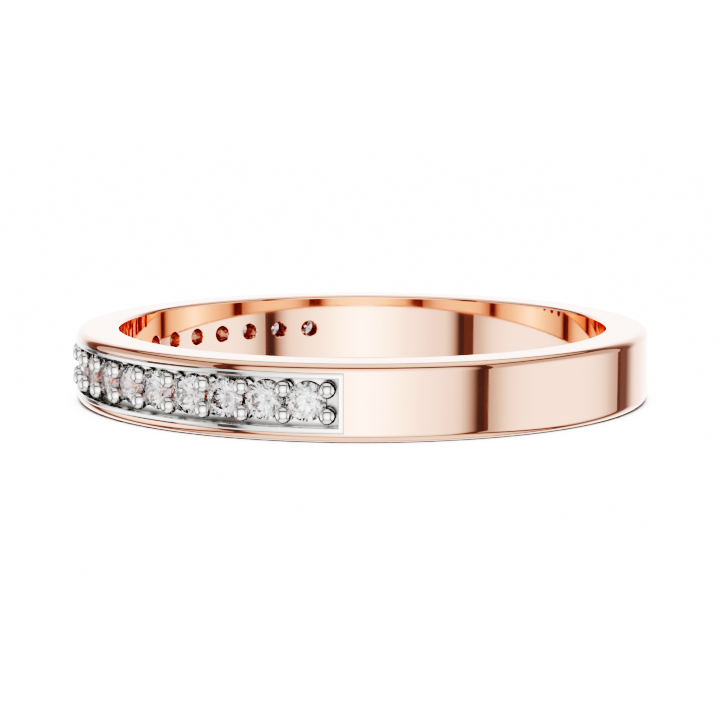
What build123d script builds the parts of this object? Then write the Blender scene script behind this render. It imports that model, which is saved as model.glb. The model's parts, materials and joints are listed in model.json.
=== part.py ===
from build123d import *
import os
from math import asin, cos, degrees, radians, sin, sqrt, tan

# Half-eternity wedding band: a polished shank, a channel setting let into its head half, and a row of
# round brilliants held by ball prongs. The origin is the centre of the finger bore at mid-width. +Z runs
# along the finger, and the middle of the stone row faces -Y. Millimetres and degrees.
os.makedirs("parts", exist_ok=True)

# Shank
bore_radius = 8.65
wall = 1.50
band_width = 2.55
outer_edge_radius = 0.28
inner_edge_radius = 0.12
azure_radius = 0.305
head_azimuth = -90.0

# Stones: round brilliants with a near-pointed culet
stone_count = 20
stone_diameter = 1.30
stone_gap = 0.107
girdle_thickness = 0.04
girdle_depth = 0.30
table_share = 0.57
crown_angle = 34.5
pavilion_angle = 40.75
star_share = 0.50
lower_half_share = 0.77
fold = 8

# Channel setting
rail_thickness = 0.185
rail_proud = 0.045
rail_bevel = 0.06
stone_to_rail = 0.14
floor_depth = 0.45
floor_thickness = 0.13
bead_radius = 0.29
bead_post_radius = 0.20
bead_centre_depth = 0.113
bead_bite = 0.11
bead_to_end_wall = 0.355

# Fits
solder_gap = 0.01
seat_clearance = 0.01
cut_margin = 0.50
fillet_share_of_lip = 0.97

# Radii of the stacked surfaces
outer_radius = bore_radius + wall
girdle_radius = outer_radius - girdle_depth
floor_radius = outer_radius - floor_depth
bead_centre_radius = outer_radius - bead_centre_depth

# Stone heights, measured from the middle of the girdle
stone_radius = stone_diameter / 2
table_radius = stone_radius * table_share
half_girdle = girdle_thickness / 2
table_height = half_girdle + (stone_radius - table_radius) * tan(radians(crown_angle))
culet_height = -half_girdle - stone_radius * tan(radians(pavilion_angle))

# Star tips and lower-half tips stand half a step of the eightfold pattern from the kites and mains
half_step = 180 / fold
star_radius = table_radius * cos(radians(half_step)) * (1 - star_share) + stone_radius * star_share
star_inset = stone_radius - star_radius * cos(radians(half_step))
star_height = half_girdle + star_inset * tan(radians(crown_angle))
lower_radius = stone_radius * (1 - lower_half_share)
lower_inset = stone_radius - lower_radius * cos(radians(half_step))
lower_height = -half_girdle - lower_inset * tan(radians(pavilion_angle))

# The row: neighbouring girdles stand stone_gap apart, and each pair of beads stands between two stones
stone_pitch = 2 * degrees(asin((stone_diameter + stone_gap) / 2 / girdle_radius))
bead_to_stone_axis = stone_radius + bead_radius - bead_bite
bead_side_step = bead_centre_radius * sin(radians(stone_pitch / 2))
bead_offset = sqrt(bead_to_stone_axis**2 - bead_side_step**2)
first_bead_azimuth = head_azimuth - stone_pitch * stone_count / 2

# The tray that holds the row
channel_width = stone_diameter + 2 * stone_to_rail
tray_width = channel_width + 2 * rail_thickness
tray_bottom_radius = outer_radius - floor_depth - floor_thickness
channel_half_span = stone_pitch * stone_count / 2 + degrees(bead_to_end_wall / outer_radius)
tray_half_span = channel_half_span + degrees(rail_thickness / outer_radius)
slot_half_span = tray_half_span + degrees(solder_gap / outer_radius)
lip_thickness = band_width / 2 - tray_width / 2 - solder_gap


def section_plane(azimuth):
    """Plane through the finger axis: local X points outward at this azimuth and local Y points along +Z."""
    outward = Vector(cos(radians(azimuth)), sin(radians(azimuth)), 0)
    return Plane(origin=(0, 0, 0), x_dir=outward, z_dir=outward.cross(Vector(0, 0, 1)))


def outward_plane(azimuth, radius, height=0.0):
    """Plane at a radius and a height, facing straight out from the finger axis."""
    outward = Vector(cos(radians(azimuth)), sin(radians(azimuth)), 0)
    return Plane(origin=outward * radius + Vector(0, 0, height), x_dir=(0, 0, 1), z_dir=outward)


def stone_plane(number):
    """Plane of a stone's girdle, facing its table; stones are numbered from 0 along the row."""
    return outward_plane(first_bead_azimuth + stone_pitch * (number + 0.5), girdle_radius)


def arc_block(half_span, low_radius, high_radius, width, mode=Mode.ADD):
    """Rectangular section swept round the finger axis, centred on the head."""
    with BuildSketch(section_plane(head_azimuth - half_span)) as section:
        with Locations(((low_radius + high_radius) / 2, 0)):
            Rectangle(high_radius - low_radius, width)
    revolve(section.sketch, axis=Axis.Z, revolution_arc=2 * half_span, mode=mode)


stone_planes = [stone_plane(number) for number in range(stone_count)]
bead_pair_planes = [
    section_plane(first_bead_azimuth + stone_pitch * number) for number in range(stone_count + 1)
]

# Seat drilled for one stone through the setting and the shank: a cone that just holds its pavilion
# facets, over the azure hole
seat_radius = stone_radius + seat_clearance
seat_slope = (half_girdle + lower_height) / (lower_radius - stone_radius)
cone_foot = -half_girdle - (seat_radius - azure_radius) * seat_slope
with BuildPart() as seat_cutter:
    with BuildSketch(Plane.XZ):
        with BuildLine():
            Polyline(
                (0, -wall),
                (azure_radius, -wall),
                (azure_radius, cone_foot),
                (seat_radius, -half_girdle),
                (0, -half_girdle),
                close=True,
            )
        make_face()
    revolve(axis=Axis.Z)

# Space that one stone takes beside the beads: its girdle, and a cone that just holds its crown facets
with BuildPart() as notch_cutter:
    with BuildSketch(Plane.XZ):
        with BuildLine():
            Polyline(
                (0, -cut_margin),
                (seat_radius, -cut_margin),
                (seat_radius, half_girdle),
                (star_radius + seat_clearance, star_height),
                (star_radius + seat_clearance, cut_margin),
                (0, cut_margin),
                close=True,
            )
        make_face()
    revolve(axis=Axis.Z)

# Two ball prongs that stand between a pair of stones, on posts from the floor, notched to clear both
# stones: local X points outward and local Y along the finger
bead_post_length = bead_centre_radius - floor_radius + floor_thickness / 2
with BuildPart() as bead_pair:
    for side in (-1, 1):
        ball_centre = (bead_centre_radius, side * bead_offset, 0)
        with Locations(Plane(origin=ball_centre, x_dir=(0, 1, 0), z_dir=(1, 0, 0))):
            Sphere(bead_radius)
            Cylinder(
                bead_post_radius, bead_post_length, align=(Align.CENTER, Align.CENTER, Align.MAX)
            )
    for side in (-1, 1):
        outward = Vector(cos(radians(stone_pitch / 2)), 0, side * sin(radians(stone_pitch / 2)))
        with Locations(Plane(origin=outward * girdle_radius, x_dir=(0, 1, 0), z_dir=outward)):
            add(notch_cutter.part, mode=Mode.SUBTRACT)

# Shank: a flat band with eased edges, a slot for the setting, and a drilled seat behind each stone
with BuildPart() as shank:
    with BuildSketch(Plane.XZ) as shank_section:
        with Locations((bore_radius + wall / 2, 0)):
            Rectangle(wall, band_width)
        fillet(shank_section.vertices().group_by(Axis.X)[0], inner_edge_radius)
        fillet(
            shank_section.vertices().sort_by(Axis.X)[-2:],
            min(outer_edge_radius, lip_thickness * fillet_share_of_lip),
        )
    revolve(axis=Axis.Z)
    arc_block(
        slot_half_span,
        tray_bottom_radius - solder_gap,
        outer_radius + cut_margin,
        tray_width + 2 * solder_gap,
        mode=Mode.SUBTRACT,
    )
    with Locations(*stone_planes):
        add(seat_cutter.part, mode=Mode.SUBTRACT)
shank.part.label = "shank"
export_step(shank.part, "parts/shank.step")

# Channel setting: floor, rails and end walls in one piece, with a bevelled rim and ball prongs
with BuildPart() as channel_setting:
    arc_block(tray_half_span, tray_bottom_radius, outer_radius + rail_proud, tray_width)
    rim = channel_setting.faces().filter_by(GeomType.CYLINDER).sort_by(SortBy.AREA)[-1]
    chamfer(rim.edges(), length=rail_bevel, length2=rail_proud, reference=rim)
    arc_block(
        channel_half_span,
        floor_radius,
        outer_radius + rail_proud + cut_margin,
        channel_width,
        mode=Mode.SUBTRACT,
    )
    with Locations(*stone_planes):
        add(seat_cutter.part, mode=Mode.SUBTRACT)
    with Locations(*bead_pair_planes):
        add(bead_pair.part)
channel_setting.part.label = "channel_setting"
export_step(channel_setting.part, "parts/channel_setting.step")


def cut_corner(step, radius, height):
    """Corner of the cut at a number of half steps round the stone."""
    turn = radians(step * half_step)
    return Vector(radius * cos(turn), radius * sin(turn), height)


def grind_facet(first, second, third):
    """Remove what lies outside the flat facet through three corners."""
    outward = (second - first).cross(third - first).normalized()
    if outward.dot(first) < 0:
        outward = -outward
    split(bisect_by=Plane(origin=first, z_dir=outward), keep=Keep.BOTTOM)


# Round brilliant: table, eight kites, eight stars, sixteen upper halves, girdle, sixteen lower halves
# and eight pavilion mains that meet at the culet
with BuildPart() as brilliant:
    with BuildSketch(Plane.XY.offset(culet_height)):
        Circle(stone_radius)
    extrude(amount=table_height - culet_height)
    for kite in range(0, 2 * fold, 2):
        star = kite + 1
        star_tip = cut_corner(star, star_radius, star_height)
        lower_tip = cut_corner(star, lower_radius, lower_height)
        grind_facet(
            cut_corner(kite - 1, star_radius, star_height),
            star_tip,
            cut_corner(kite, table_radius, table_height),
        )
        grind_facet(
            cut_corner(kite, table_radius, table_height),
            cut_corner(kite + 2, table_radius, table_height),
            star_tip,
        )
        grind_facet(
            cut_corner(kite - 1, lower_radius, lower_height),
            lower_tip,
            Vector(0, 0, culet_height),
        )
        for near in (kite, kite + 2):
            grind_facet(
                star_tip,
                cut_corner(near, stone_radius, half_girdle),
                cut_corner(star, stone_radius, half_girdle),
            )
            grind_facet(
                lower_tip,
                cut_corner(near, stone_radius, -half_girdle),
                cut_corner(star, stone_radius, -half_girdle),
            )

# One node for each stone, numbered along the row
for number, place in enumerate(stone_planes, start=1):
    with BuildPart() as diamond:
        with Locations(place):
            add(brilliant.part)
    diamond.part.label = f"diamond_{number:02d}"
    export_step(diamond.part, f"parts/{diamond.part.label}.step")
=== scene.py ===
import json
import math
import random

import bmesh
import bpy
import numpy as np
from mathutils import Matrix, Vector


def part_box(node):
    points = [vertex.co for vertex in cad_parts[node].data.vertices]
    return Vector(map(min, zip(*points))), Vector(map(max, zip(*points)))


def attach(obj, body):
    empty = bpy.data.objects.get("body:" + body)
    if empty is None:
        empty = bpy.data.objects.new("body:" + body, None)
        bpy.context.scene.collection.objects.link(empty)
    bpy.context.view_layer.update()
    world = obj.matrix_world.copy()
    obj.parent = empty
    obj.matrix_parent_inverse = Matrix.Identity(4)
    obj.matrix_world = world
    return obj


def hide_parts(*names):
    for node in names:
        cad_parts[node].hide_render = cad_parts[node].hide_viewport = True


# Looks for a half-eternity wedding band: polished rose gold, a white-gold channel setting with ball prongs,
# and a row of round brilliants, on a white floor inside a soft light tent.
# The band's shapes are worked out in millimetres about the centre of the finger bore, as in the CAD model,
# and are turned into metres when each mesh is finished. The stage is in metres. Angles are in degrees.

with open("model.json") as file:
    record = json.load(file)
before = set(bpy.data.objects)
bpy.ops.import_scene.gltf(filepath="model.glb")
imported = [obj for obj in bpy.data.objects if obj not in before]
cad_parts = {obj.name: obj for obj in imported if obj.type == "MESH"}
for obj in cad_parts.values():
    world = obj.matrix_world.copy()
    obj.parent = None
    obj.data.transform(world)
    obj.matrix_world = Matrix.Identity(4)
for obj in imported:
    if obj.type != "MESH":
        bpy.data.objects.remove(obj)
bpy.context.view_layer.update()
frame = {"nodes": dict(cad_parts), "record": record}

MM = 0.001
SEED = 7

# Shank, read from the frame
mounts = {mount["name"]: mount for mount in frame["record"]["mounts"]}
shank_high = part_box("shank")[1]
bore_radius = mounts["finger_bore"]["dims"]["r_mm"]
outer_radius = round(shank_high.x / MM, 3)
half_width = round(shank_high.z / MM, 4)
outer_edge_radius = 0.28
inner_edge_radius = half_width - mounts["finger_bore"]["dims"]["length_mm"] / 2
azure_radius = 0.305
azure_edge_break = 0.02
head_azimuth = -90.0

# Stones and their spacing
stone_names = sorted(name for name in frame["nodes"] if name.startswith("diamond_"))
stone_count = len(stone_names)
stone_radius = 0.65
stone_gap = 0.107
half_girdle = 0.02
girdle_radius = outer_radius - 0.30
table_share = 0.57
crown_angle = 34.5
pavilion_angle = 40.75
star_share = 0.50
lower_half_share = 0.77
fold = 8

# Channel setting
rail_thickness = 0.185
rail_proud = 0.045
rail_bevel = 0.06
edge_round = 0.015
inner_round = 0.05
stone_to_rail = 0.14
floor_radius = outer_radius - 0.45
floor_thickness = 0.13
bead_radius = 0.29
bead_post_radius = 0.20
bead_centre_radius = outer_radius - 0.113
bead_bite = 0.11
bead_to_end_wall = 0.355
solder_gap = 0.01
seat_clearance = 0.01

# Camera, as the photograph's: a long lens a little above the rim. Its distance and aim are in millimetres
camera_azimuth = 88.4
camera_elevation = 8.155
camera_distance = 90.77
camera_lens = 126.72
sensor_width = 36.0
aim_right = -0.083
aim_up = -0.037

# Fineness of the meshes, in steps round each shape
band_steps = 720
slot_steps = 331
tray_steps = 400
end_steps = 8
drill_steps = 96
blank_steps = 96
bead_steps = 64
stage_steps = 96
outer_fillet_steps = 20
inner_fillet_steps = 12
ball_steps = 40
dome_steps = 48

# How far a cutter runs past the surface that it cuts
overshoot = 1.0

# Tone curve: scene light against printed tone, both linear
tone_stops = [
    (0.05, 0.003),
    (0.10, 0.03),
    (0.175, 0.14),
    (0.265, 0.287),
    (0.354, 0.413),
    (0.448, 0.53),
    (0.573, 0.64),
    (0.79, 0.753),
    (1.0, 0.84),
    (1.35, 0.913),
    (1.71, 0.956),
    (2.2, 0.99),
    (2.6, 1.0),
]


def rad(degrees):
    return math.radians(degrees)


# Heights of the brilliant's corners, from the middle of its girdle
half_step = 180 / fold
table_radius = stone_radius * table_share
table_height = half_girdle + (stone_radius - table_radius) * math.tan(rad(crown_angle))
culet_height = -half_girdle - stone_radius * math.tan(rad(pavilion_angle))
star_radius = table_radius * math.cos(rad(half_step)) * (1 - star_share) + stone_radius * star_share
star_height = half_girdle + (stone_radius - star_radius * math.cos(rad(half_step))) * math.tan(
    rad(crown_angle)
)
lower_radius = stone_radius * (1 - lower_half_share)
lower_height = -half_girdle - (stone_radius - lower_radius * math.cos(rad(half_step))) * math.tan(
    rad(pavilion_angle)
)

# The row
pitch = 2 * math.degrees(math.asin((2 * stone_radius + stone_gap) / 2 / girdle_radius))
bead_side_step = bead_centre_radius * math.sin(rad(pitch / 2))
bead_offset = math.sqrt((stone_radius + bead_radius - bead_bite) ** 2 - bead_side_step**2)
first_bead_azimuth = head_azimuth - pitch * stone_count / 2
stone_azimuths = [first_bead_azimuth + pitch * (number + 0.5) for number in range(stone_count)]
bead_azimuths = [first_bead_azimuth + pitch * number for number in range(stone_count + 1)]

# Seats: a cone that just holds the pavilion facets, over the azure hole
seat_radius = stone_radius + seat_clearance
seat_slope = (half_girdle + lower_height) / (lower_radius - stone_radius)
seat_foot = girdle_radius - half_girdle - (seat_radius - azure_radius) * seat_slope

# The tray
tray_half_width = stone_radius + stone_to_rail + rail_thickness
tray_bottom = floor_radius - floor_thickness
tray_half_span = (
    pitch * stone_count / 2 + math.degrees((bead_to_end_wall + rail_thickness) / outer_radius)
)


# ---------------------------------------------------------------- mesh helpers


def mesh_from(name, points, faces):
    """A mesh in millimetres from points and faces, with its normals made to point outward."""
    mesh = bpy.data.meshes.new(name)
    mesh.from_pydata([tuple(point) for point in points], [], faces)
    build = bmesh.new()
    build.from_mesh(mesh)
    bmesh.ops.remove_doubles(build, verts=build.verts, dist=1e-6)
    bmesh.ops.recalc_face_normals(build, faces=build.faces)
    build.to_mesh(mesh)
    build.free()
    return mesh


def object_from(name, mesh):
    piece = bpy.data.objects.new(name, mesh)
    bpy.context.scene.collection.objects.link(piece)
    return piece


def ring_faces(count, low, high):
    """Quads between two rings of points that start at these indices."""
    return [
        (low + step, low + (step + 1) % count, high + (step + 1) % count, high + step)
        for step in range(count)
    ]


def revolved(name, profile, segments, closed=False):
    """The mesh of a profile of (radius, height) points turned about Z."""
    turns = np.arange(segments) * 2 * math.pi / segments
    points = [
        (radius * math.cos(turn), radius * math.sin(turn), height)
        for radius, height in profile
        for turn in turns
    ]
    faces = []
    count = len(profile)
    for row in range(count if closed else count - 1):
        faces += ring_faces(segments, row * segments, (row + 1) % count * segments)
    return mesh_from(name, points, faces)


def arc_points(centre, radius, start, end, steps):
    """Points along an arc in a section, from one angle to another."""
    return [
        (
            centre[0] + radius * math.cos(rad(start + (end - start) * step / steps)),
            centre[1] + radius * math.sin(rad(start + (end - start) * step / steps)),
        )
        for step in range(steps + 1)
    ]


def outward_matrix(azimuth, radius, height=0.0, spin=0.0):
    """Frame at a radius and height whose local Z points straight out from the finger axis."""
    outward = Vector((math.cos(rad(azimuth)), math.sin(rad(azimuth)), 0))
    along = Vector((0, 0, 1))
    across = outward.cross(along)
    turn = Matrix((along, across, outward)).transposed().to_4x4()
    place = Matrix.Translation(outward * radius + Vector((0, 0, height)))
    return place @ turn @ Matrix.Rotation(rad(spin), 4, "Z")


def cut_out(piece, tool_mesh):
    """Cut a tool mesh from a piece, and keep the result as the piece's mesh."""
    tool = object_from("tool", tool_mesh)
    change = piece.modifiers.new("change", "BOOLEAN")
    change.operation = "DIFFERENCE"
    change.solver = "EXACT"
    change.object = tool
    view = bpy.context.evaluated_depsgraph_get()
    result = bpy.data.meshes.new_from_object(piece.evaluated_get(view))
    piece.modifiers.clear()
    piece.data = result
    bpy.data.objects.remove(tool)


def merged(meshes):
    """One mesh that holds copies of several (mesh, matrix) pairs."""
    build = bmesh.new()
    for mesh, matrix in meshes:
        copy = mesh.copy()
        copy.transform(matrix)
        build.from_mesh(copy)
        bpy.data.meshes.remove(copy)
    joined = bpy.data.meshes.new("merged")
    build.to_mesh(joined)
    build.free()
    return joined


# ------------------------------------------------------- exact surface normals
# Each field gives, for an array of points, the distance from one exact surface and its unit normal.


def unit(vectors):
    return vectors / np.maximum(np.linalg.norm(vectors, axis=1, keepdims=True), 1e-12)


def flat_field(height):
    def field(points):
        normals = np.zeros_like(points)
        normals[:, 2] = math.copysign(1.0, height)
        return np.abs(points[:, 2] - height), normals

    return field


def round_field(ring_radius, height, radius):
    """Surface at a fixed distance from a ring about Z, facing away from the ring."""

    def field(points):
        across = np.hypot(points[:, 0], points[:, 1])
        outward = points[:, :2] / across[:, None]
        section = np.stack([across - ring_radius, points[:, 2] - height], 1)
        length = np.maximum(np.linalg.norm(section, axis=1), 1e-12)
        normals = np.concatenate(
            [outward * (section[:, :1] / length[:, None]), section[:, 1:] / length[:, None]], 1
        )
        return np.abs(length - radius), normals

    return field


def wall_field(radius, sign):
    """Cylinder about the finger axis."""

    def field(points):
        normals = points.copy()
        normals[:, 2] = 0
        return np.abs(np.hypot(points[:, 0], points[:, 1]) - radius), unit(normals) * sign

    return field


def cone_field(azimuth, foot_height, foot_radius, slope, sign):
    """Cone about an outward axis: its radius grows by slope for each millimetre outward.

    Only the half on the outward side of the finger axis counts.
    """
    axis = np.array([math.cos(rad(azimuth)), math.sin(rad(azimuth)), 0.0])

    def field(points):
        height = points @ axis
        side = points - height[:, None] * axis
        side_unit = unit(side)
        gap = np.linalg.norm(side, axis=1) - (foot_radius + (height - foot_height) * slope)
        normals = unit(side_unit - slope * axis) * sign
        return np.abs(gap) / math.hypot(1, slope) + (height < 0) * 1e3, normals

    return field


def ball_field(centre, radius):
    centre = np.array(centre)

    def field(points):
        away = points - centre
        return np.abs(np.linalg.norm(away, axis=1) - radius), unit(away)

    return field


def shade_exactly(mesh, fields):
    """Give each face the normals of the exact surface it lies on, and flat ones elsewhere.

    A face lies on a surface when its corners are within tolerance of it and face nearly the same way.
    """
    tolerance, agree = 2e-4, 0.7
    vertex_count, loop_count = len(mesh.vertices), len(mesh.loops)
    points = np.empty(vertex_count * 3)
    mesh.vertices.foreach_get("co", points)
    points = points.reshape(-1, 3)
    loop_vertex = np.empty(loop_count, np.int64)
    mesh.loops.foreach_get("vertex_index", loop_vertex)
    starts = np.empty(len(mesh.polygons), np.int64)
    mesh.polygons.foreach_get("loop_start", starts)
    sizes = np.empty(len(mesh.polygons), np.int64)
    mesh.polygons.foreach_get("loop_total", sizes)
    face_normals = np.empty(len(mesh.polygons) * 3)
    mesh.polygons.foreach_get("normal", face_normals)
    face_normals = face_normals.reshape(-1, 3)
    loop_face = np.repeat(np.arange(len(sizes)), sizes)
    normals = face_normals[loop_face]
    best = np.full(len(sizes), tolerance)
    for field in fields:
        distance, surface = field(points)
        worst = np.maximum.reduceat(distance[loop_vertex], starts)
        facing = (surface[loop_vertex] * face_normals[loop_face]).sum(1)
        facing = np.minimum.reduceat(facing, starts)
        better = (worst < best) & (facing > agree)
        best[better] = worst[better]
        chosen = better[loop_face]
        normals[chosen] = surface[loop_vertex[chosen]]
    mesh.polygons.foreach_set("use_smooth", np.ones(len(sizes), bool))
    mesh.normals_split_custom_set(normals.tolist())


def finish_piece(piece, fields, node, material):
    """Shade a piece in millimetres, turn it into metres, and tie it to the frame."""
    if fields is not None:
        shade_exactly(piece.data, fields)
    piece.data.transform(Matrix.Scale(MM, 4))
    piece.data.materials.clear()
    piece.data.materials.append(material)
    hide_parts(node)
    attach(piece, "root")


# ------------------------------------------------------------------- materials


def new_material(name):
    material = bpy.data.materials.new(name)
    material.use_nodes = True
    nodes = material.node_tree.nodes
    return material, nodes, material.node_tree.links, nodes["Principled BSDF"]


def spread(nodes, links, source, limits, results, interpolation="LINEAR"):
    """A socket's values, taken from one pair of limits to another and held outside them."""
    step = nodes.new("ShaderNodeMapRange")
    step.interpolation_type = interpolation
    step.inputs["From Min"].default_value, step.inputs["From Max"].default_value = limits
    step.inputs["To Min"].default_value, step.inputs["To Max"].default_value = results
    links.new(source, step.inputs["Value"])
    return step.outputs["Result"]


def eased(nodes, links, source, low, high):
    """0 at one value of a socket, in millimetres, and 1 at the other, with soft ends."""
    limits = (min(low, high) * MM, max(low, high) * MM)
    results = (0.0, 1.0) if low < high else (1.0, 0.0)
    return spread(nodes, links, source, limits, results, "SMOOTHSTEP")


def joined(nodes, links, operation, first, second):
    """Two sockets put together by a number operation."""
    both = nodes.new("ShaderNodeMath")
    both.operation = operation
    links.new(first, both.inputs[0])
    links.new(second, both.inputs[1])
    return both.outputs["Value"]


def number_step(nodes, links, operation, source, value=0.0):
    """A socket after a number operation with a fixed number."""
    step = nodes.new("ShaderNodeMath")
    step.operation = operation
    step.inputs[1].default_value = value
    links.new(source, step.inputs[0])
    return step.outputs["Value"]


def vector_step(nodes, links, operation, source, value=(0, 0, 0)):
    """A socket after a vector operation with a fixed vector."""
    step = nodes.new("ShaderNodeVectorMath")
    step.operation = operation
    step.inputs[1].default_value = value
    links.new(source, step.inputs[0])
    return step.outputs["Value" if operation in ("LENGTH", "DISTANCE") else "Vector"]


def axis_distance(nodes, links, place):
    """Distance of a point from the finger axis."""
    return vector_step(nodes, links, "LENGTH", vector_step(nodes, links, "MULTIPLY", place, (1, 1, 0)))


def noise(nodes, links, place, scale, detail=2.0, roughness=0.5):
    """Strength of a noise texture, between 0 and 1."""
    texture = nodes.new("ShaderNodeTexNoise")
    texture.inputs["Scale"].default_value = scale
    texture.inputs["Detail"].default_value = detail
    texture.inputs["Roughness"].default_value = roughness
    links.new(place, texture.inputs["Vector"])
    return texture.outputs["Fac"]


# Recesses of the two metals: 1 inside and 0 elsewhere, from the distance to the finger axis, the height off
# mid-width and the place along Y


def drilled(nodes, links, radius, level, along):
    """Walls of the azure holes and seats in the shank."""
    past_bore = eased(nodes, links, radius, bore_radius + 0.01, bore_radius + 0.12)
    under_slot = eased(nodes, links, radius, outer_radius - 0.2, outer_radius - 0.3)
    between_sides = eased(nodes, links, level, 0.95, 0.9)
    inside = joined(nodes, links, "MULTIPLY", past_bore, under_slot)
    return joined(nodes, links, "MULTIPLY", inside, between_sides)


def corner_shade_and_satin(nodes, links, radius, level, along):
    """Foot of the channel's rails and end walls, where shade is painted into the metal's colour and the
    polish is duller.
    """
    deep = eased(nodes, links, radius, outer_radius - 0.03, floor_radius + 0.1)
    rails = eased(nodes, links, level, 0.58, 0.76)
    ends = eased(nodes, links, along, -1.80, -1.35)
    return joined(nodes, links, "MULTIPLY", deep, joined(nodes, links, "MAXIMUM", rails, ends))


def polished_metal(name, colour, deep_colour, roughness, scratch_scale, recess, painted_shade_share, satin):
    """Polished precious metal: fine polishing lines, faint haze that varies, and a slight colour drift.

    recess is a function that masks where the metal's colour is darkened as painted shade, and where it is
    duller, by satin.
    """
    material, nodes, links, shader = new_material(name)
    shader.inputs["Metallic"].default_value = 1.0
    place = nodes.new("ShaderNodeTexCoord").outputs["Object"]
    parts = nodes.new("ShaderNodeSeparateXYZ")
    links.new(place, parts.inputs["Vector"])
    radius = axis_distance(nodes, links, place)
    level = number_step(nodes, links, "ABSOLUTE", parts.outputs["Z"])
    shade_and_satin = recess(nodes, links, radius, level, parts.outputs["Y"])

    tint = nodes.new("ShaderNodeMix")
    tint.data_type = "RGBA"
    tint.inputs["A"].default_value = (*colour, 1)
    tint.inputs["B"].default_value = (*deep_colour, 1)
    links.new(noise(nodes, links, place, 260.0, detail=3.0), tint.inputs["Factor"])
    # painted shade: the colour is scaled down where the recess mask is 1, by the share given for the metal
    shaded_colour = nodes.new("ShaderNodeVectorMath")
    shaded_colour.operation = "SCALE"
    links.new(tint.outputs["Result"], shaded_colour.inputs["Vector"])
    links.new(spread(nodes, links, shade_and_satin, (0.0, 1.0), (1.0, 1.0 - painted_shade_share)), shaded_colour.inputs["Scale"])
    links.new(shaded_colour.outputs["Vector"], shader.inputs["Base Color"])

    haze = noise(nodes, links, place, 900.0, detail=4.0)
    haze = spread(nodes, links, haze, (0.3, 0.7), (roughness * 0.6, roughness * 1.6))
    dulled = joined(nodes, links, "ADD", number_step(nodes, links, "MULTIPLY", shade_and_satin, satin), haze)
    links.new(dulled, shader.inputs["Roughness"])

    stretch = nodes.new("ShaderNodeMapping")
    stretch.inputs["Scale"].default_value = (scratch_scale * 0.06, scratch_scale * 0.06, scratch_scale)
    links.new(place, stretch.inputs["Vector"])
    bump = nodes.new("ShaderNodeBump")
    bump.inputs["Strength"].default_value = 0.02
    bump.inputs["Distance"].default_value = 2e-6
    lines = noise(nodes, links, stretch.outputs["Vector"], 1.0, detail=5.0, roughness=0.7)
    links.new(lines, bump.inputs["Height"])
    links.new(bump.outputs["Normal"], shader.inputs["Normal"])
    return material


def diamond_material(name):
    """Diamond: full refraction with polished facets.

    The grey of its colour stands for the light that a small closed setting keeps from a stone.
    """
    material, nodes, links, shader = new_material(name)
    shader.inputs["Base Color"].default_value = (0.62, 0.62, 0.63, 1)
    shader.inputs["Transmission Weight"].default_value = 1.0
    shader.inputs["IOR"].default_value = 2.417
    place = nodes.new("ShaderNodeTexCoord").outputs["Object"]
    haze = spread(nodes, links, noise(nodes, links, place, 3000.0), (0.0, 1.0), (0.0, 0.004))
    links.new(haze, shader.inputs["Roughness"])
    return material


rose_gold = polished_metal(
    "rose_gold", (0.96, 0.575, 0.455), (0.95, 0.555, 0.435), 0.035, 9000.0, drilled, 0.0, 0.10
)
# painted shade: the white gold's colour is scaled down by up to 0.35 at the foot of the channel's rails and
# end walls, where its polish is also duller
white_gold = polished_metal(
    "white_gold", (0.80, 0.795, 0.785), (0.78, 0.775, 0.765), 0.04, 12000.0, corner_shade_and_satin, 0.35, 0.25
)
diamond = diamond_material("diamond")


# ----------------------------------------------------------------------- shank


def shank_profile():
    """Section of the band as (radius, height), with its four edges eased."""
    high = half_width
    inner = inner_edge_radius
    outer = outer_edge_radius
    points = arc_points((bore_radius + inner, high - inner), inner, 180, 90, inner_fillet_steps)
    points += arc_points((outer_radius - outer, high - outer), outer, 90, 0, outer_fillet_steps)
    points += arc_points((outer_radius - outer, outer - high), outer, 0, -90, outer_fillet_steps)
    points += arc_points((bore_radius + inner, inner - high), inner, -90, -180, inner_fillet_steps)
    return points


def arc_loft(stack, half_span, half_height, segments):
    """Points and faces of a closed block bent round the finger axis, lofted through a stack of rims.

    Each rim is an (inset, radius): a rectangle, half_span by half_height, drawn in by inset all round.
    """
    rims = []
    for inset, radius in stack:
        span = half_span - math.degrees(inset / outer_radius)
        height = half_height - inset
        rim = [(-span + 2 * span * step / segments, -height) for step in range(segments)]
        rim += [(span, -height + 2 * height * step / end_steps) for step in range(end_steps)]
        rim += [(span - 2 * span * step / segments, height) for step in range(segments)]
        rim += [(-span, height - 2 * height * step / end_steps) for step in range(end_steps)]
        rims.append([(radius, head_azimuth + azimuth, z) for azimuth, z in rim])
    count = len(rims[0])
    points = [
        (radius * math.cos(rad(azimuth)), radius * math.sin(rad(azimuth)), z)
        for rim in rims
        for radius, azimuth, z in rim
    ]
    faces = []
    for row in range(len(rims) - 1):
        faces += ring_faces(count, row * count, (row + 1) * count)
    for row in (0, len(rims) - 1):
        base = row * count
        far = base + segments + end_steps
        for step in range(segments):
            low = (base + step, base + step + 1)
            high = (far + segments - step - 1, far + segments - step)
            if step == 0:
                # the first column closes against the end's own points
                high = (high[0], base + count - end_steps)
            faces.append((low[0], low[1], high[0], high[1]))
    return points, faces


def block_mesh(name, half_span, low, high, half_height, segments):
    """Plain bent block between two radii."""
    span = 2 * half_span
    angles = [head_azimuth - half_span + span * step / segments for step in range(segments + 1)]
    section = ((low, -half_height), (high, -half_height), (high, half_height), (low, half_height))
    points = [
        (radius * math.cos(rad(angle)), radius * math.sin(rad(angle)), z)
        for angle in angles
        for radius, z in section
    ]
    faces = [(0, 1, 2, 3), tuple(segments * 4 + corner for corner in (3, 2, 1, 0))]
    for step in range(segments):
        faces += ring_faces(4, step * 4, step * 4 + 4)
    return mesh_from(name, points, faces)


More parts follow.
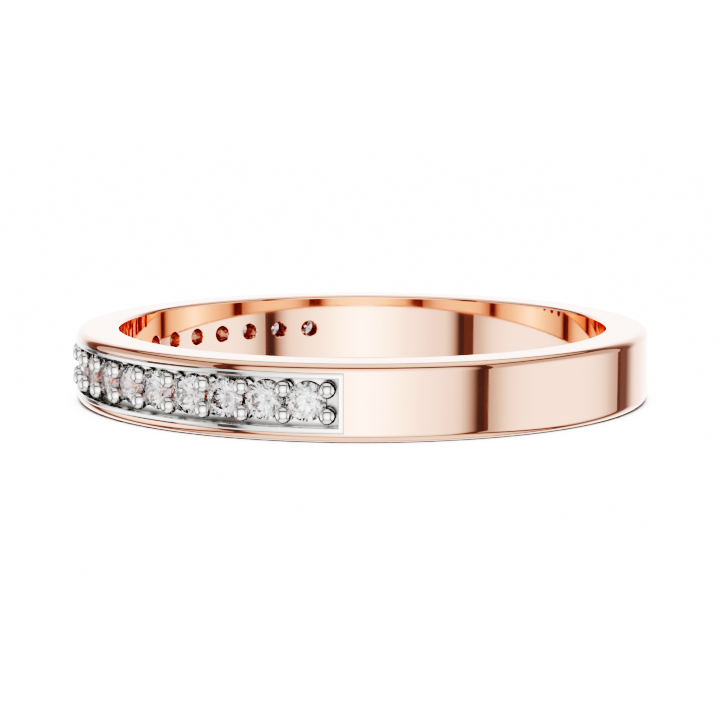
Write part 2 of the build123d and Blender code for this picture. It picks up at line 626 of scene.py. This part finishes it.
def make_shank():
    band = revolved("shank_band", shank_profile(), band_steps, closed=True)
    piece = object_from("shank_band", band)
    slot_floor = tray_bottom - solder_gap
    slot_half_height = tray_half_width + solder_gap
    slot_half_span = tray_half_span + math.degrees(solder_gap / outer_radius)
    slot_top = outer_radius + overshoot
    cut_out(piece, block_mesh("slot", slot_half_span, slot_floor, slot_top, slot_half_height, slot_steps))
    # each azure hole is broken at 45 degrees where it meets the bore
    flare = -1.0
    drill_start = bore_radius - 0.5
    drill_profile = [
        (0, drill_start),
        (azure_radius + azure_edge_break + bore_radius - drill_start, drill_start),
        (azure_radius, bore_radius + azure_edge_break),
        (azure_radius, seat_foot),
        (seat_radius, girdle_radius - half_girdle),
        (0, girdle_radius - half_girdle),
    ]
    drill = revolved("drill", drill_profile, drill_steps)
    cut_out(piece, merged([(drill, outward_matrix(azimuth, 0)) for azimuth in stone_azimuths]))
    fields = [
        wall_field(outer_radius, 1),
        wall_field(bore_radius, -1),
        wall_field(slot_floor, 1),
        flat_field(half_width),
        flat_field(-half_width),
    ]
    for side in (-1, 1):
        for ring_radius, radius in (
            (outer_radius - outer_edge_radius, outer_edge_radius),
            (bore_radius + inner_edge_radius, inner_edge_radius),
        ):
            fields.append(round_field(ring_radius, side * (half_width - radius), radius))
    for azimuth in stone_azimuths:
        fields.append(cone_field(azimuth, bore_radius, azure_radius, 0.0, -1))
        fields.append(cone_field(azimuth, seat_foot, azure_radius, 1 / seat_slope, -1))
        fields.append(cone_field(azimuth, bore_radius + azure_edge_break, azure_radius, flare, -1))
    finish_piece(piece, fields, "shank", rose_gold)


# --------------------------------------------------------------------- setting


def rim_stack():
    """Rims of the tray from its bottom, over the bevelled rim, to the channel floor.

    The bevel's two edges are softened by points a share of edge_round away from them.
    """
    top = outer_radius + rail_proud
    slope = math.degrees(math.atan2(rail_proud, rail_bevel))
    soft = edge_round
    stack = [(0.0, tray_bottom), (0.0, outer_radius - soft)]
    stack += [(soft * 0.3, outer_radius + soft * 0.05)]
    stack += [(rail_bevel - soft, top - soft * math.tan(rad(slope)))]
    stack += [(rail_bevel - soft * 0.3, top - soft * 0.06), (rail_bevel + soft * 0.6, top)]
    inner = rail_thickness
    stack += [
        (
            inner - inner_round * (1 - math.sin(rad(angle))),
            top - inner_round * (1 - math.cos(rad(angle))),
        )
        for angle in range(0, 91, 15)
    ]
    stack += [(inner, floor_radius)]
    return stack


def bead_mesh():
    """One ball prong on its post, about the middle of its ball, with local Z pointing outward."""
    foot = floor_radius - floor_thickness / 2 - bead_centre_radius
    neck = -math.sqrt(bead_radius**2 - bead_post_radius**2)
    join = math.degrees(math.asin(neck / bead_radius))
    profile = [(0, foot), (bead_post_radius, foot)]
    profile += arc_points((0, 0), bead_radius, join, 90, ball_steps)
    return revolved("bead", profile, bead_steps)


def notch(mesh, matrix, stone_places):
    """Push a bead's surface out of the room that its neighbouring stones take."""
    rise = (star_height - half_girdle) / (stone_radius - star_radius)
    back = matrix.inverted()
    for place in stone_places:
        inverse = place.inverted()
        for vertex in mesh.vertices:
            local = inverse @ (matrix @ vertex.co)
            radius = math.hypot(local.x, local.y)
            limit = seat_radius - max(0.0, local.z - half_girdle) / rise
            if radius < limit:
                scale = limit / radius
                local.x *= scale
                local.y *= scale
                vertex.co = back @ (place @ local)


def make_setting():
    points, faces = arc_loft(rim_stack(), tray_half_span, tray_half_width, tray_steps)
    piece = object_from("setting", mesh_from("setting", points, faces))
    seat_profile = [
        (0, tray_bottom - overshoot),
        (azure_radius, tray_bottom - overshoot),
        (azure_radius, seat_foot),
        (seat_radius, girdle_radius - half_girdle),
        (0, girdle_radius - half_girdle),
    ]
    seat = revolved("seat", seat_profile, drill_steps)
    cut_out(piece, merged([(seat, outward_matrix(azimuth, 0)) for azimuth in stone_azimuths]))
    fields = [
        wall_field(floor_radius, 1),
        wall_field(outer_radius + rail_proud, 1),
        wall_field(tray_bottom, -1),
    ]
    for azimuth in stone_azimuths:
        fields.append(cone_field(azimuth, seat_foot, azure_radius, 1 / seat_slope, -1))
    beads = []
    for azimuth in bead_azimuths:
        for side in (-1, 1):
            ball = bead_mesh()
            matrix = outward_matrix(azimuth, bead_centre_radius, side * bead_offset)
            neighbours = [
                outward_matrix(azimuth + half * pitch / 2, girdle_radius) for half in (-1, 1)
            ]
            notch(ball, matrix, neighbours)
            beads.append((ball, matrix))
            fields.append(ball_field(matrix.translation, bead_radius))
    piece.data = merged([(piece.data, Matrix.Identity(4))] + beads)
    finish_piece(piece, fields, "channel_setting", white_gold)


# -------------------------------------------------------------------- diamonds


def cut_corner(step, radius, height):
    turn = rad(step * half_step)
    return Vector((radius * math.cos(turn), radius * math.sin(turn), height))


def brilliant_mesh():
    """Round brilliant ground from a round blank, facet by facet, about the middle of its girdle."""
    blank_foot = culet_height - 0.1
    outline = [(0, blank_foot), (stone_radius, blank_foot), (stone_radius, table_height), (0, table_height)]
    blank = revolved("brilliant", outline, blank_steps)
    build = bmesh.new()
    build.from_mesh(blank)

    def grind(first, second, third):
        outward = (second - first).cross(third - first).normalized()
        if outward.dot(first) < 0:
            outward = -outward
        cut = bmesh.ops.bisect_plane(
            build,
            geom=build.verts[:] + build.edges[:] + build.faces[:],
            dist=1e-7,
            plane_co=first,
            plane_no=outward,
            clear_outer=True,
        )
        edges = [item for item in cut["geom_cut"] if isinstance(item, bmesh.types.BMEdge)]
        if edges:
            bmesh.ops.contextual_create(build, geom=edges)

    for kite in range(0, 2 * fold, 2):
        star = kite + 1
        star_tip = cut_corner(star, star_radius, star_height)
        lower_tip = cut_corner(star, lower_radius, lower_height)
        table_corner = cut_corner(kite, table_radius, table_height)
        grind(cut_corner(kite - 1, star_radius, star_height), star_tip, table_corner)
        grind(table_corner, cut_corner(kite + 2, table_radius, table_height), star_tip)
        grind(
            cut_corner(kite - 1, lower_radius, lower_height), lower_tip, Vector((0, 0, culet_height))
        )
        for near in (kite, kite + 2):
            for tip, height in ((star_tip, half_girdle), (lower_tip, -half_girdle)):
                grind(
                    tip,
                    cut_corner(near, stone_radius, height),
                    cut_corner(star, stone_radius, height),
                )
    bmesh.ops.dissolve_limit(
        build, angle_limit=1e-4, verts=build.verts, edges=build.edges, use_dissolve_boundaries=False
    )
    build.to_mesh(blank)
    build.free()
    return blank


def make_diamonds():
    order = random.Random(SEED)
    model = brilliant_mesh()
    for name, azimuth in zip(stone_names, stone_azimuths):
        mesh = model.copy()
        mesh.transform(outward_matrix(azimuth, girdle_radius, spin=order.uniform(0, 45)))
        piece = object_from("brilliant_" + name[-2:], mesh)
        mesh.polygons.foreach_set("use_smooth", np.zeros(len(mesh.polygons), bool))
        finish_piece(piece, None, name, diamond)


# ----------------------------------------------------------------------- stage


def hide_from_rays(item, *kinds):
    """Keep a stage object out of some kinds of ray."""
    for kind in kinds:
        setattr(item, "visible_" + kind, False)


def camera_axes():
    """Directions from the band toward the camera, to the picture's right, and to its top."""
    turn, tilt = rad(camera_azimuth), rad(camera_elevation)
    toward = Vector((math.sin(turn) * math.cos(tilt), -math.cos(turn) * math.cos(tilt), math.sin(tilt)))
    right = Vector((math.cos(turn), math.sin(turn), 0))
    return toward, right, toward.cross(right)


def make_floor():
    """Matt paper that the band lies on; the band mirrors the tent, not the paper."""
    paper_radius = 0.26
    mesh = revolved("floor", [(0.0, 0.0), (0.03, 0.0), (paper_radius, 0.0)], stage_steps)
    mesh.transform(Matrix.Translation((0, 0, -half_width * MM)))
    floor = object_from("floor", mesh)
    hide_from_rays(floor, "glossy", "transmission", "shadow")
    material, nodes, links, shader = new_material("floor_paper")
    shader.inputs["Roughness"].default_value = 1.0
    shader.inputs["Specular IOR Level"].default_value = 0.0
    place = nodes.new("ShaderNodeTexCoord").outputs["Object"]
    tone = spread(nodes, links, noise(nodes, links, place, 1500.0), (0.0, 1.0), (0.91, 0.93))
    # painted shadow: the paper's colour falls to 0.22 of its tone from a little inside the band's outer
    # edge inward, so it is darkest under the band's rounded edge and over the whole disc inside the band
    radius = axis_distance(nodes, links, place)
    clear = eased(nodes, links, radius, outer_radius - 0.10, outer_radius + 0.13)
    painted_shadow_under_band = spread(nodes, links, clear, (0.0, 1.0), (0.22, 1.0))
    links.new(joined(nodes, links, "MULTIPLY", tone, painted_shadow_under_band), shader.inputs["Base Color"])
    mesh.materials.append(material)


def glowing_material(name):
    """A material that only glows, with the socket of its strength."""
    material = bpy.data.materials.new(name)
    material.use_nodes = True
    nodes, links = material.node_tree.nodes, material.node_tree.links
    nodes.remove(nodes["Principled BSDF"])
    glow = nodes.new("ShaderNodeEmission")
    links.new(glow.outputs["Emission"], nodes["Material Output"].inputs["Surface"])
    return material, nodes, links, glow.inputs["Strength"]


def fall_off(nodes, links, share, stops):
    """Strength at a share of the way out, along a smooth curve through the stops."""
    brightest = max(strength for _, strength in stops)
    ramp = nodes.new("ShaderNodeFloatCurve")
    curve = ramp.mapping.curves[0]
    curve.points[0].location = (stops[0][0], stops[0][1] / brightest)
    curve.points[1].location = (stops[-1][0], stops[-1][1] / brightest)
    for where, strength in stops[1:-1]:
        curve.points.new(where, strength / brightest)
    ramp.mapping.update()
    links.new(share, ramp.inputs["Value"])
    return number_step(nodes, links, "MULTIPLY", ramp.outputs["Value"], brightest)


def softbox(name, place, half_across, half_up, corner, fade, heart, stops, rest):
    """Glowing panel with rounded corners, facing local +Z, with a soft edge of width fade.

    Its glow follows stops of (share of the half width from its heart, strength), and rest is what is left
    of it past the soft edge.
    """
    low, high = (-half_across, -half_up), (half_across, half_up)
    corners = [low, (high[0], low[1]), high, (low[0], high[1])]
    mesh = bpy.data.meshes.new(name)
    mesh.from_pydata([(x, y, 0) for x, y in corners], [], [(0, 1, 2, 3)])
    mesh.transform(place)
    layer = mesh.uv_layers.new(name="panel")
    for loop, where in zip(layer.data, corners):
        loop.uv = where
    panel = object_from(name, mesh)
    hide_from_rays(panel, "camera")
    material, nodes, links, strength = glowing_material(name)
    spots = nodes.new("ShaderNodeUVMap")
    spots.uv_map = "panel"
    spot = spots.outputs["UV"]

    # 1 on the panel and 0 at its rounded edge
    size = vector_step(nodes, links, "ABSOLUTE", spot)
    past = vector_step(nodes, links, "SUBTRACT", size, (half_across - corner, half_up - corner, 0))
    span = vector_step(nodes, links, "LENGTH", vector_step(nodes, links, "MAXIMUM", past))
    mask = spread(nodes, links, span, (corner - fade, corner), (1.0, 0.0), "SMOOTHSTEP")

    reach = vector_step(nodes, links, "DISTANCE", spot, (*heart, 0))
    share = spread(nodes, links, reach, (0.0, half_across), (0.0, 1.0))
    glow = joined(nodes, links, "MULTIPLY", fall_off(nodes, links, share, stops), mask)
    links.new(number_step(nodes, links, "MAXIMUM", glow, rest), strength)
    mesh.materials.append(material)
    return panel


def make_tent():
    """Box of six soft light panels round the band, square to the camera's axis, with dark seams."""
    toward, right, up = camera_axes()
    front, back, side, lid = 0.40, 0.39, 0.43, 0.43

    def panel(name, centre, across, above, rest=0.14, **shape):
        turned = Matrix((across, above, across.cross(above))).transposed().to_4x4()
        return softbox(name, Matrix.Translation(centre) @ turned, rest=rest, **shape)

    # the front panel hangs low and to the left, and glows most below the camera's axis
    panel(
        "softbox_front",
        toward * front - right * 0.038 - up * 0.10,
        right,
        up,
        half_across=0.502,
        half_up=0.50,
        corner=0.18,
        fade=0.18,
        heart=(0.038, -0.017),
        stops=[(0.0, 2.45), (0.217, 1.75), (0.339, 1.45), (0.475, 1.26), (0.596, 1.1), (1.0, 0.95)],
    )

    # the back panel reaches further to the right, and glows most straight behind the band
    panel(
        "softbox_back",
        toward * -back + right * 0.087,
        right,
        up,
        rest=0.22,
        half_across=0.487,
        half_up=0.52,
        corner=0.193,
        fade=0.193,
        heart=(-0.087, 0),
        stops=[(0.0, 2.0), (0.3, 1.8), (0.53, 1.35), (0.67, 1.18), (0.8, 0.75), (0.87, 0.54), (1.0, 0.42)],
    )

    # each side panel runs from near the front panel to far, near the back one
    sides = (("softbox_right", side, 0.3545, 0.2655), ("softbox_left", -side, 0.2635, 0.348))
    for name, out, near, far in sides:
        panel(
            name,
            right * out + toward * ((near - far) / 2),
            toward,
            up,
            half_across=(near + far) / 2,
            half_up=0.38,
            corner=0.05,
            fade=0.006,
            heart=(0, -0.125),
            stops=[(0.0, 1.43), (0.31, 1.4), (0.55, 1.25), (0.74, 0.95), (0.86, 0.72), (1.0, 0.56)],
        )

    # lid and base, and under the lid a lamp that lights only the paper
    flat = {"half_across": 0.38, "half_up": 0.31, "corner": 0.05, "fade": 0.02, "heart": (0, 0)}
    dim = [(0.0, 1.0), (0.6, 0.95), (1.0, 0.6)]
    panel("softbox_top", up * lid, right, toward, stops=dim, **flat)
    panel("softbox_bottom", up * -lid, right, toward, stops=dim, **flat)
    paper = panel("paper_light", up * (lid - 0.02), right, toward, stops=[(0.0, 7.8), (1.0, 7.8)], **flat)
    hide_from_rays(paper, "glossy", "transmission", "shadow")


def make_backdrop():
    """Plain white surround that only the camera sees."""
    backdrop_radius = 0.8
    dome = arc_points((0, 0), backdrop_radius, -90, 90, dome_steps)
    backdrop = object_from("backdrop", revolved("backdrop", dome, stage_steps))
    hide_from_rays(backdrop, "diffuse", "glossy", "transmission", "shadow")
    material, nodes, links, strength = glowing_material("backdrop")
    strength.default_value = 3.2
    backdrop.data.materials.append(material)


def make_world():
    """Dim warm light in the tent's seams."""
    world = bpy.data.worlds.new("tent_seams")
    world.use_nodes = True
    world.node_tree.nodes["Background"].inputs["Color"].default_value = (0.19, 0.16, 0.15, 1)
    bpy.context.scene.world = world


def make_camera():
    data = bpy.data.cameras.new("camera")
    data.lens = camera_lens
    data.sensor_width = sensor_width
    data.clip_start = 0.005
    data.clip_end = 10.0
    camera = object_from("camera", data)
    away, right, _ = camera_axes()
    aim = right * (aim_right * MM) + Vector((0, 0, aim_up * MM))
    camera.location = aim + away * (camera_distance * MM)
    camera.rotation_euler = (-away).to_track_quat("-Z", "Y").to_euler()
    bpy.context.scene.camera = camera


def set_print_curve(view):
    """Print-like tone curve, channel by channel: a soft shoulder that whitens highlights and a firm toe."""
    white = 3.0
    view.view_transform = "Standard"
    view.use_curve_mapping = True
    mapping = view.curve_mapping
    mapping.white_level = (white, white, white)
    curve = mapping.curves[3]
    curve.points[0].location = (0.0, 0.0)
    curve.points[1].location = (1.0, 1.0)
    for light, tone in tone_stops:
        curve.points.new(light / white, tone)
    mapping.update()


make_camera()
make_shank()
make_setting()
make_diamonds()
make_floor()
make_tent()
make_backdrop()
make_world()

scene = bpy.context.scene
set_print_curve(scene.view_settings)
scene.cycles.max_bounces = 24
scene.cycles.transmission_bounces = 20
scene.cycles.glossy_bounces = 12
